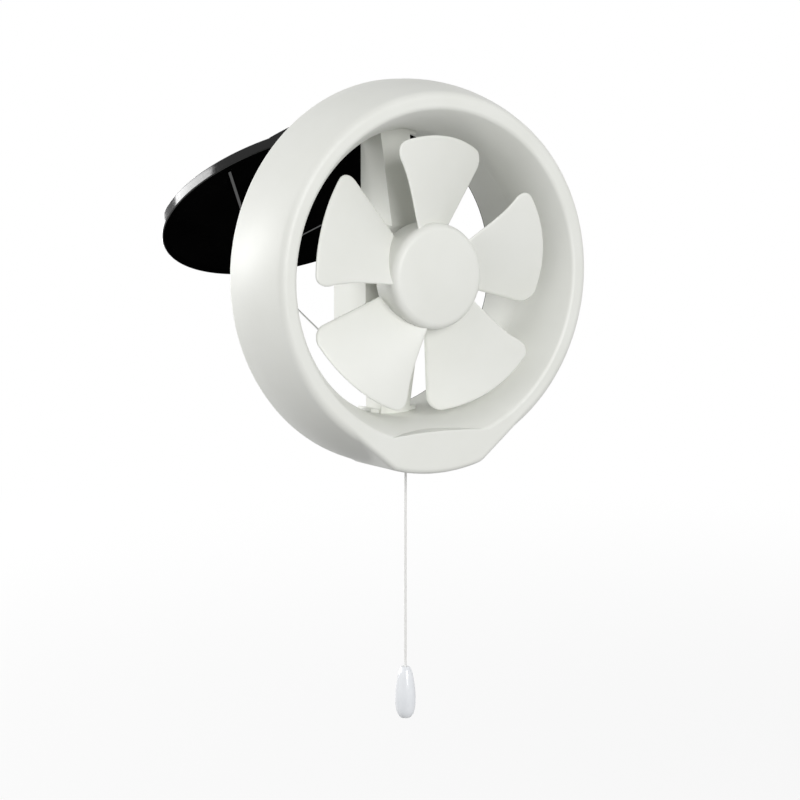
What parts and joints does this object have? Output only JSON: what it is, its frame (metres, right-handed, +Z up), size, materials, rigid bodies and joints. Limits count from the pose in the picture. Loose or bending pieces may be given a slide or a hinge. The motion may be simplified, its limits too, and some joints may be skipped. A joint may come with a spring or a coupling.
{
  "type": "exhaust fan",
  "caption": "Round window exhaust fan with an open bell-mouth front, bladed impeller, motor column, hinged rear shutter and a pull-cord switch.",
  "frame": {"origin": "on the fan's axis, in the plane of the window pane that the gasket's rear face bears on", "axes": "+X to the right as seen from the room, +Y outdoors along the fan's axis, +Z up"},
  "size_m": [0.2802, 0.2896, 0.4717],
  "materials": {
    "housing_plastic": "satin off-white moulding",
    "shutter_plastic": "gloss black",
    "gasket_rubber": "matt",
    "fastener_steel": "zinc plated",
    "shaft_steel": "ground",
    "spring_steel": "drawn wire",
    "bracket_steel": "grey paint",
    "bearing_bronze": "sintered",
    "lamination_iron": "raw",
    "winding_copper": "enamelled",
    "washer_fibre": "matt",
    "insert_brass": "turned",
    "switch_plastic": "matt",
    "capacitor_plastic": "plain",
    "guide_plastic": "satin",
    "handle_plastic": "gloss white",
    "pull_cord_fibre": "braided",
    "stay_cord_fibre": "braided"
  },
  "bodies": {
    "housing": {"front_housing": "housing_plastic", "rear_spigot": "housing_plastic", "window_gasket": "gasket_rubber", "shutter_seal": "gasket_rubber", "housing_screws": "fastener_steel", "motor_column": "housing_plastic", "column_screws": "fastener_steel", "motor_rear_cover": "housing_plastic", "motor_screws": "fastener_steel", "front_bearing": "bearing_bronze", "rear_bearing": "bearing_bronze", "stator_core": "lamination_iron", "stator_windings": "winding_copper", "hinge_bracket": "bracket_steel", "hinge_pin": "shaft_steel", "hinge_spring": "spring_steel", "stay_eyelet": "spring_steel", "stay_cord": "stay_cord_fibre", "switch_body": "switch_plastic", "switch_cover": "switch_plastic", "lever_pin": "shaft_steel", "return_spring": "spring_steel", "switch_contacts": "insert_brass", "cord_guide": "guide_plastic", "terminal_block": "switch_plastic", "run_capacitor": "capacitor_plastic", "cable_grommet": "gasket_rubber"},
    "impeller": {"impeller": "housing_plastic", "hub_insert": "insert_brass", "motor_shaft": "shaft_steel", "rotor_core": "lamination_iron", "thrust_washers": "washer_fibre"},
    "shutter": {"shutter": "shutter_plastic"},
    "pull": {"pull_cord": "pull_cord_fibre", "cord_ferrule": "insert_brass", "pull_handle": "handle_plastic"},
    "lever": {"switch_lever": "switch_plastic"}
  },
  "joints": [
    {"name": "impeller_spin", "type": "hinge", "parent": "housing", "child": "impeller", "pos_m": [0, 0, 0], "axis": [0, -1, 0], "continuous": true},
    {"name": "shutter_swing", "type": "hinge", "parent": "housing", "child": "shutter", "pos_m": [0, 0.0404, 0.1138], "axis": [1, 0, 0], "range_deg": [-58.1, 0], "stiffness_Nm_per_rad": 0.2, "springref_deg": 57.3, "deforming": ["hinge_spring", "stay_cord"]},
    {"name": "pull_slide", "type": "slide", "parent": "housing", "child": "pull", "axis": [0, 0, -1], "range_m": [0, 0.0054], "stiffness_N_per_m": 600, "springref_m": -0.002, "deforming": ["return_spring"]},
    {"name": "lever_turn", "type": "hinge", "parent": "housing", "child": "lever", "pos_m": [-0.016, -0.0125, -0.118], "axis": [0, 1, 0], "range_deg": [0, 21.5]}
  ],
  "couplings": [
    {"joint": "lever_turn", "follows": "pull_slide", "rad_per_m": 69.4}
  ]
}
